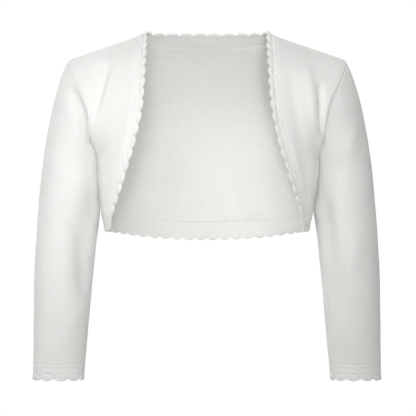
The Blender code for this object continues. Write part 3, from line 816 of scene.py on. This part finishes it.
def sleeve_ring(height, columns):
    outer, width, centre_y, depth = from_table(SLEEVE, height)
    ring = []
    for j in range(columns):
        turn = 2 * math.pi * j / columns
        point = Vector((outer - width / 2 - width / 2 * math.cos(turn),
                        centre_y - depth / 2 * math.sin(turn), height))
        clear = torso_side(point.y, height) + SLEEVE_CLEARANCE
        if height > HEM_EDGE_BACK_Z:
            point.x = max(point.x, clear)
        ring.append(point)
    return ring


def sleeve_points(side):
    """Rings from the armhole down to the cuff seam, each starting at the underarm."""
    front = shared_out(smooth_line(ARMHOLE_FRONT), even(ARMHOLE_ROWS))
    back = shared_out(smooth_line(ARMHOLE_BACK), even(ARMHOLE_ROWS))
    armhole = front + list(reversed(back))[1:-1]
    top_z = SLEEVE[0][0]
    below = [sleeve_ring(mix(top_z, CUFF_SEAM_Z, share), SLEEVE_COLUMNS)
             for share in even(SLEEVE_ROWS)]
    grid = [armhole]
    for k in range(1, CAP_ROWS):
        row = []
        for j, start in enumerate(armhole):
            end = below[0][j]
            reach = (end - start).length
            from_underarm = 1 - math.cos(2 * math.pi * j / SLEEVE_COLUMNS)
            outward, down, pull = from_table(
                [(n,) + leave for n, leave in enumerate(CAP_LEAVE)], from_underarm)
            leave = Vector((outward, 0.0, -down)) * reach * pull
            along = (below[1][j] - end).normalized()
            row.append(arc(start, end, leave, along * reach * CAP_ARRIVE, k / CAP_ROWS))
        grid.append(row)
    grid += below
    for row in grid[1:]:
        for point in row:
            if HEM_EDGE_BACK_Z < point.z < CLEAR_BELOW_Z:
                point.x = max(point.x, torso_side(point.y, point.z) + SLEEVE_CLEARANCE)
    return grid if side > 0 else [[mirrored(p) for p in row] for row in grid]


def armhole_line(front, back, side):
    """What the panels have along the armhole, from the underarm up the front and down the back."""
    start = SIDE_ROWS * FINER
    up = [row[0] for row in front[start:]]
    column = -1 if side > 0 else 0
    down = [row[column] for row in reversed(back[start:])]
    return up + down[1:]


def closer_rows(grid):
    """The same grid with extra rows in its first and last few intervals, beside the seams."""
    out = []
    last = len(grid) - 1
    for r in range(last):
        count = CLOSE_ROWS if r < CLOSE_INTERVALS or r >= last - CLOSE_INTERVALS else 1
        for k in range(count):
            out.append([mix(a, b, k / count) for a, b in zip(grid[r], grid[r + 1])])
    return out + [grid[-1]]


def sleeve_form(front, side):
    form = refined(sleeve_points(side), ring=True)
    goal = armhole_line(front, back_form, side)
    for c, point in enumerate(goal):
        move = point - form[0][c]
        for r in range(FINER):
            form[r][c] = form[r][c] + move * (1 - r / FINER)
    return closer_rows(form)


def welt(away, height):
    """The seam allowance under the cloth beside the armhole seam, a narrow raised line."""
    return height * sum(share * bell(away, middle, half) for middle, half, share in WELT_LINES)


def sleeve_place(point):
    outer, width, centre_y, depth = from_table(SLEEVE, point.z)
    turn = math.degrees(math.atan2(centre_y - point.y, outer - width / 2 - abs(point.x)))
    return point.z, turn % 360 * SLEEVE_DEGREE


def sleeve(name, front, panel_normals, side, creases, welt_height):
    form = sleeve_form(front, side)
    middle_ring = form[(len(form) - 1) // 2][:-1]
    normals = normals_of(form, sum(middle_ring, Vector()) / len(middle_ring), ring=True)
    for c, lead in enumerate(armhole_line(panel_normals, back_normals, side)):
        for r in range(LED_ROWS):
            normals[r][c] = mix(lead, normals[r][c], r / LED_ROWS).normalized()
    lines = [(z0, t0 * SLEEVE_DEGREE, z1, t1 * SLEEVE_DEGREE, height, half)
             for z0, t0, z1, t1, height, half in creases]
    rise = []
    for row in form:
        line = []
        for c, point in enumerate(row):
            top = (point - form[0][c]).length
            away = min(top, (point - form[-1][c]).length)
            height = crease_height(lines, *sleeve_place(point)) + unevenness(point)
            line.append(laid(height, away) + welt(top, welt_height))
        line[-1] = line[0]
        rise.append(line)
    places = knit_places(form, (len(form[0]) - 1) // 2)
    piece = cloth_wall(name, form, normals, places, rise, rise, ring=True)
    finished(piece, body_knit, name, flat=(0.23, 0.321),
             rests_on=["back", name.replace("sleeve", "front")], area=0.054)
    return form, normals


right_sleeve_form, right_sleeve_normals = sleeve(
    "sleeve_right", front_right_form, front_right_normals, -1, SLEEVE_RIGHT_CREASES, WELT_RIGHT)
left_sleeve_form, left_sleeve_normals = sleeve(
    "sleeve_left", front_left_form, front_left_normals, 1, SLEEVE_LEFT_CREASES, WELT_LEFT)


# Neck and front band
# One knitted edging in the same yarn, up the right front, round the back neck and down the left front.
# It is linked to the body along a fine seam. Its free edge is worked in scallops, each a raised shell.

# Free edge of the front band, at the scallop tips, over the same length
FRONT_EDGE = (
    (97.3, -37.5, -177.2),
    (93.9, -43.8, -165.9),
    (86.4, -53.0, -146.4),
    (80.2, -59.0, -126.7),
    (73.8, -62.5, -107.2),
    (69.0, -63.5, -87.3),
    (65.2, -61.0, -67.8),
    (63.0, -53.0, -41.9),
    (62.4, -39.0, -19.8),
    (61.9, -19.0, 0.0),
    (61.9, -3.0, 13.4),
)
NECK_EDGE_HALF_WIDTH = 61.9
NECK_EDGE_BACK_Y = 34.0
NECK_EDGE_BACK_Z = 16.6
NECK_EDGE_RIDGE_Z = 16.0
NECK_EDGE_ROUNDNESS = 3.2
SCALLOP_DEPTH = 3.0
SCALLOP_ROUNDNESS = 0.8
# Steps along one scallop, rows across the band, rows that turn out of the surface of the body
SCALLOP_FINE = 16
BAND_ROWS = 26
LED_BAND_ROWS = 4
# Share of the cloth's slight waves that a band has
BAND_WAVES = 0.3
# Plain rows on the inside of the back neck: spacing, distance from the free edge
ROW_PITCH = 2.9
ROWS_FROM_EDGE = 6.0
# Share of the outer relief that shows on the inside
INSIDE_SHARE = 0.3
# A scallop's raised oval shell
SHELL_HEIGHT = 1.5
SHELL_HALF_WIDTH = 5.9
SHELL_HALF_DEPTH = 3.1
# The slit at its foot, the rib beyond it and the notch between two scallops
SLIT_FROM_EDGE = 6.9
SLIT_HALF_WIDTH = 3.0
SLIT_HALF_DEPTH = 0.8
RIB_FROM_EDGE = 9.0
RIB_HALF_DEPTH = 1.0
RIB_HEIGHT = 0.3
NOTCH_DEPTH = 0.6
NOTCH_LENGTH = 7.5
NOTCH_HALF_SHARE = 0.09
# Linking seam: ridge and groove, each with its distance from the seam and its half width
LINK_RIDGE = (2.0, 0.8)
LINK_GROOVE = (0.7, 0.5)
LINK_GROOVE_SHARE = 0.8
# Height of the linking ridge, relief of the scallops, height of the plain rows on the inside
PLAIN_BAND = (0.45, 0.5, 0.0)
RIGHT_FRONT_BAND = (0.06, 1.0, 0.0)
BACK_NECK_BAND = (0.4, 0.6, 0.16)
LEFT_FRONT_BAND = (0.26, 1.0, 0.0)
# The left front's linking ridge fades to this height over this share of the front
FADED_RIDGE = 0.04
FADE_SHARE = 0.4
band_knit = knit_material("band_knit", along_band=True)


def neck_edge():
    return neck_line(NECK_EDGE_HALF_WIDTH, NECK_EDGE_BACK_Y, NECK_EDGE_BACK_Z,
                     NECK_EDGE_RIDGE_Z, NECK_EDGE_ROUNDNESS, FRONT_EDGE[-1])


def scallop(phase):
    """How far the free edge draws back at a place in a scallop, 0 to 1."""
    return 1 - math.sin(math.pi * (phase % 1.0)) ** SCALLOP_ROUNDNESS


def shell_height(along, phase, from_edge, from_seam, ridge, relief):
    """Height of the edging at a place: along is from the middle of its scallop, all in millimetres."""
    oval = 1 - (along / SHELL_HALF_WIDTH) ** 2 - ((from_edge - SHELL_HALF_DEPTH) / SHELL_HALF_DEPTH) ** 2
    height = SHELL_HEIGHT * relief * math.sqrt(max(oval, 0.0))
    slit = math.exp(-(along / SLIT_HALF_WIDTH) ** 4) * bell(from_edge, SLIT_FROM_EDGE, SLIT_HALF_DEPTH)
    height -= SHELL_HEIGHT * relief * slit
    height += RIB_HEIGHT * relief * bell(from_edge, RIB_FROM_EDGE, RIB_HALF_DEPTH)
    between = (phase % 1.0 + 0.5) % 1.0 - 0.5
    height -= NOTCH_DEPTH * bell(between, 0.0, NOTCH_HALF_SHARE) * max(1 - from_edge / NOTCH_LENGTH, 0.0)
    height += ridge * bell(from_seam, *LINK_RIDGE)
    height -= LINK_GROOVE_SHARE * ridge * bell(from_seam, *LINK_GROOVE)
    return height


def band(name, seam, seam_normals, tips, phases, inside, ring=False,
         details=lambda phase: PLAIN_BAND, **cut):
    """A strip of edging from a seam line to its scalloped free edge. inside is a point in the hollow."""
    grid = []
    for k in range(BAND_ROWS + 1):
        row = []
        for start, tip, phase in zip(seam, tips, phases):
            edge = tip - (tip - start).normalized() * SCALLOP_DEPTH * scallop(phase)
            row.append(mix(start, edge, k / BAND_ROWS))
        grid.append(row)
    normals = normals_of(grid, inside, ring)
    for c, normal in enumerate(seam_normals):
        if normals[0][c].dot(normal) < 0:
            for row in normals:
                row[c] = -row[c]
        for r in range(LED_BAND_ROWS):
            normals[r][c] = mix(normal, normals[r][c], r / LED_BAND_ROWS).normalized()
    outer = []
    inner = []
    pitch = lengths_along(tips)[-1] / (phases[-1] - phases[0])
    for r, row in enumerate(grid):
        outer_row = []
        inner_row = []
        for c, point in enumerate(row):
            along = (phases[c] % 1.0 - 0.5) * pitch
            from_edge = (tips[c] - point).length
            from_seam = (point - seam[c]).length
            ridge, relief, plain_rows = details(phases[c])
            height = shell_height(along, phases[c], from_edge, from_seam, ridge, relief)
            height += BAND_WAVES * unevenness(point)
            rows = plain_rows * math.cos(2 * math.pi * from_edge / ROW_PITCH) * (from_edge > ROWS_FROM_EDGE)
            rise = seam_rise(from_seam)
            outer_row.append(rise + height if r else 0.0)
            inner_row.append(rise - INSIDE_SHARE * height - rows if r else 0.0)
        outer.append(outer_row)
        inner.append(inner_row)
    piece = cloth_wall(name, grid, normals, knit_places(grid, 0), outer, inner, ring, free_edge=True)
    finished(piece, band_knit, name, **cut)
    return grid


def resampled(values, count):
    """Values read at count + 1 even places along the list."""
    last = len(values) - 1
    out = []
    for k in range(count + 1):
        mark = k / count * last
        i = min(int(mark), last - 1)
        out.append(mix(values[i], values[i + 1], mark - i))
    return out


neck_first = SHOULDER_COLUMNS * FINER
neck_last = neck_first + 2 * NECK_COLUMNS * FINER
front_steps = PANEL_ROWS * SCALLOP_FINE
neck_steps = 2 * NECK_COLUMNS * SCALLOP_FINE


def along_band(right, back, left):
    """The panels' values at their seam with the band: up the right front, round the neck, down the left."""
    up = resampled([row[-1] for row in right], front_steps)
    round_neck = resampled(back[-1][neck_first:neck_last + 1], neck_steps)
    down = resampled([row[-1] for row in left], front_steps)[::-1]
    return up[:-1] + round_neck + down[1:]


band_seam = along_band(front_right_form, back_form, front_left_form)
band_seam_normals = along_band(front_right_normals, back_normals, front_left_normals)
front_tips = shared_out(smooth_line(FRONT_EDGE), even(front_steps))
neck_tips = shared_out(neck_edge(), finer(NECK_SHARES, SCALLOP_FINE))
half_tips = neck_tips[1:] + front_tips[-2::-1]
band_tips = [mirrored(p) for p in half_tips[::-1]] + [mirrored(neck_tips[0])] + half_tips
band_phases = [k / SCALLOP_FINE for k in range(len(band_tips))]


def neck_details(phase):
    left_front = PANEL_ROWS + 2 * NECK_COLUMNS
    if phase <= PANEL_ROWS:
        return RIGHT_FRONT_BAND
    if phase < left_front:
        return BACK_NECK_BAND
    ridge, relief, plain_rows = LEFT_FRONT_BAND
    faded = min((phase - left_front) / PANEL_ROWS / FADE_SHARE, 1.0)
    return mix(ridge, FADED_RIDGE, faded), relief, plain_rows


neck_front_grid = band(
    "neck_front_band", band_seam, band_seam_normals, band_tips, band_phases,
    Vector((0.0, SIDE_SEAM_Y, -60.0)), details=neck_details, flat=(0.691, 0.018),
    rests_on=["front_right", "back", "front_left"], area=0.0104)


# Hem band
# The same edging, from front edge to front edge round the hem, linked on along a straight seam.
# At both ends it runs under the end of the front band and stops in a plain end.

HEM_EDGE_SIDE_Z = -194.0
# Free corner of the hem band at the front opening: x, y, z
HEM_CORNER = (100.5, -26.0, -192.0)
FRONT_HEM_SCALLOPS = 2


def hem_tip(phase, front_scallops, all_scallops):
    """Tip line of the hem at a count of scallops from the right front corner."""
    middle = all_scallops / 2
    side = 1 if phase > middle else -1
    from_middle = abs(phase - middle)
    back_scallops = middle - front_scallops
    if from_middle <= back_scallops:
        line = torso_row(HEM_EDGE_SIDE_Z, HEM_EDGE_BACK_Z)
        point = shared_out(line, [from_middle / back_scallops])[0]
    else:
        share = (from_middle - back_scallops) / front_scallops
        corner = Vector(HEM_CORNER)
        start = torso_point(math.pi / 2, HEM_EDGE_SIDE_Z)
        y = mix(start.y, corner.y, share)
        z = mix(start.z, corner.z, share)
        point = Vector((torso_side(y, z), y, z))
    return point if side > 0 else mirrored(point)


end_right = [row[0] for row in neck_front_grid]
end_left = [row[-1] for row in neck_front_grid]
hem_scallops = 1 + FRONT_HEM_SCALLOPS
# Seam of the hem band from end to end: points, scallops
hem_runs = (
    (end_right[::-1], 1),
    (front_right_form[0][::-1], FRONT_HEM_SCALLOPS),
    (back_form[0], 2 * HALF_COLUMNS),
    (front_left_form[0], FRONT_HEM_SCALLOPS),
    (end_left, 1),
)
hem_seam, hem_phases = [], []
phase = 0
for line, scallops in hem_runs:
    count = scallops * SCALLOP_FINE
    hem_seam += resampled(line, count)[:-1]
    hem_phases += [phase + scallops * k / count for k in range(count)]
    phase += scallops
hem_seam.append(end_left[-1])
hem_phases.append(phase)
hem_tips = [hem_tip(value, hem_scallops, phase) for value in hem_phases]
hem_normals = [Vector((p.x, p.y - SIDE_SEAM_Y, 0.0)).normalized() for p in hem_seam]
band("hem_band", hem_seam, hem_normals, hem_tips, hem_phases, Vector((0.0, SIDE_SEAM_Y, -190.0)),
     flat=(0.371, 0.02), rests_on=["front_right", "back", "front_left"], area=0.0067)


# Cuff bands
# A ring of the same edging on each sleeve end, linked on along a seam and joined under the arm.
# Its scallops point down to the hand and are as low as those of the hem.

CUFF_SCALLOPS = 11
CUFF_EDGE_Z = -348.0
for name, form, normals, side in (
        ("cuff_band_right", right_sleeve_form, right_sleeve_normals, -1),
        ("cuff_band_left", left_sleeve_form, left_sleeve_normals, 1)):
    steps = CUFF_SCALLOPS * SCALLOP_FINE
    seam = resampled(form[-1], steps)
    tips = sleeve_ring(CUFF_EDGE_Z, steps)
    tips.append(tips[0].copy())
    if side < 0:
        tips = [mirrored(p) for p in tips]
    band(name, seam, resampled(normals[-1], steps), tips, [k / SCALLOP_FINE for k in range(steps + 1)],
         sum(seam[:-1], Vector()) / steps, ring=True, flat=(0.152, 0.018),
         rests_on=[name.replace("cuff_band", "sleeve")], area=0.0026)


# Studio
# A pale floor well below the garment, a bright round wall behind it, and soft lights at the front,
# above, at the viewer's left and behind. The light at the front falls off towards the viewer's right.

EYE_HEIGHT = -0.1638
DISTANCE = 2.2
VIEW_WIDTH = 0.4368
SENSOR = 36.0
# Picture width in pixels, and how far the view is moved in it
PICTURE = 416
SHIFT = (1, -5)
FLOOR_Z = -0.62
FLOOR_RADIUS = 2.1
WALL_RADIUS = 3.6
WALL_LOW = -1.3
WALL_HEIGHT = 1.75
STAGE_SEGMENTS = 96


def stage_piece(name, bm, colour, glow):
    mesh = bpy.data.meshes.new(name)
    bm.to_mesh(mesh)
    bm.free()
    piece = bpy.data.objects.new(name, mesh)
    bpy.context.scene.collection.objects.link(piece)
    material = bpy.data.materials.new(name)
    material.use_nodes = True
    shader = material.node_tree.nodes["Principled BSDF"]
    shader.inputs["Base Color"].default_value = colour
    shader.inputs["Roughness"].default_value = 0.9
    shader.inputs["Emission Color"].default_value = (1.0, 1.0, 1.0, 1.0)
    shader.inputs["Emission Strength"].default_value = glow
    piece.data.materials.append(material)


floor_bm = bmesh.new()
bmesh.ops.create_circle(floor_bm, cap_ends=True, segments=STAGE_SEGMENTS, radius=FLOOR_RADIUS)
bmesh.ops.translate(floor_bm, verts=floor_bm.verts[:], vec=(0.0, 0.0, FLOOR_Z))
stage_piece("floor", floor_bm, (0.86, 0.86, 0.85, 1.0), 0.0)

wall_bm = bmesh.new()
bmesh.ops.create_circle(wall_bm, segments=STAGE_SEGMENTS, radius=WALL_RADIUS)
bmesh.ops.translate(wall_bm, verts=wall_bm.verts[:], vec=(0.0, 0.0, WALL_LOW))
upper = bmesh.ops.extrude_edge_only(wall_bm, edges=wall_bm.edges[:])["geom"]
bmesh.ops.translate(wall_bm, verts=[item for item in upper if isinstance(item, bmesh.types.BMVert)],
                    vec=(0.0, 0.0, WALL_HEIGHT))
stage_piece("wall", wall_bm, (0.0, 0.0, 0.0, 1.0), 1.0)

world = bpy.data.worlds.new("studio")
world.use_nodes = True
world.node_tree.nodes["Background"].inputs["Color"].default_value = (1.0, 1.0, 0.985, 1.0)
world.node_tree.nodes["Background"].inputs["Strength"].default_value = 0.12
bpy.context.scene.world = world
bpy.context.scene.view_settings.view_transform = "Standard"


# Soft boxes: name, place, aim, width in metres, watts
SOFTBOXES = (
    ("front_light", (0.0, -2.6, 0.1), (0.0, 0.0, -0.15), 0.9, 6.0),
    ("rear_light", (-1.3, 2.3, 0.5), (0.0, 0.0, -0.15), 0.8, 22.0),
    ("side_light", (-1.5, -0.6, 0.15), (0.0, 0.0, -0.15), 0.7, 1.2),
    ("top_light", (-0.3, -1.0, 1.5), (0.0, 0.0, -0.1), 1.2, 21.0),
)
# Spotlights with soft borders: name, place, aim, cone in degrees, watts
SPOTLIGHTS = (
    ("left_spot", (-0.2, -2.6, 0.05), (-0.14, 0.0, -0.15), 12.8, 66.0),
    ("inside_spot", (0.1, -1.7, -0.42), (-0.015, 0.06, -0.045), 8.0, 116.0),
)
COOL = (0.99, 1.0, 1.025)
SPOT_BLEND = 0.9
SPOT_RADIUS = 0.2


def lamp(name, kind, place, aim, power):
    light = bpy.data.lights.new(name, kind)
    light.energy = power
    light.color = COOL
    holder = bpy.data.objects.new(name, light)
    holder.location = place
    holder.rotation_mode = "QUATERNION"
    holder.rotation_quaternion = (Vector(aim) - Vector(place)).to_track_quat("-Z", "Y")
    holder.visible_camera = False
    bpy.context.scene.collection.objects.link(holder)
    return light


for name, place, aim, size, power in SOFTBOXES:
    light = lamp(name, "AREA", place, aim, power)
    light.shape = "SQUARE"
    light.size = size
for name, place, aim, cone, power in SPOTLIGHTS:
    light = lamp(name, "SPOT", place, aim, power)
    light.spot_size = math.radians(cone)
    light.spot_blend = SPOT_BLEND
    light.shadow_soft_size = SPOT_RADIUS

camera_data = bpy.data.cameras.new("camera")
camera_data.sensor_width = SENSOR
camera_data.lens = SENSOR * DISTANCE / VIEW_WIDTH
camera_data.shift_x = SHIFT[0] / PICTURE
camera_data.shift_y = SHIFT[1] / PICTURE
camera = bpy.data.objects.new("camera", camera_data)
camera.location = (0.0, -DISTANCE, EYE_HEIGHT)
camera.rotation_euler = (math.radians(90.0), 0.0, 0.0)
bpy.context.scene.collection.objects.link(camera)
bpy.context.scene.camera = camera
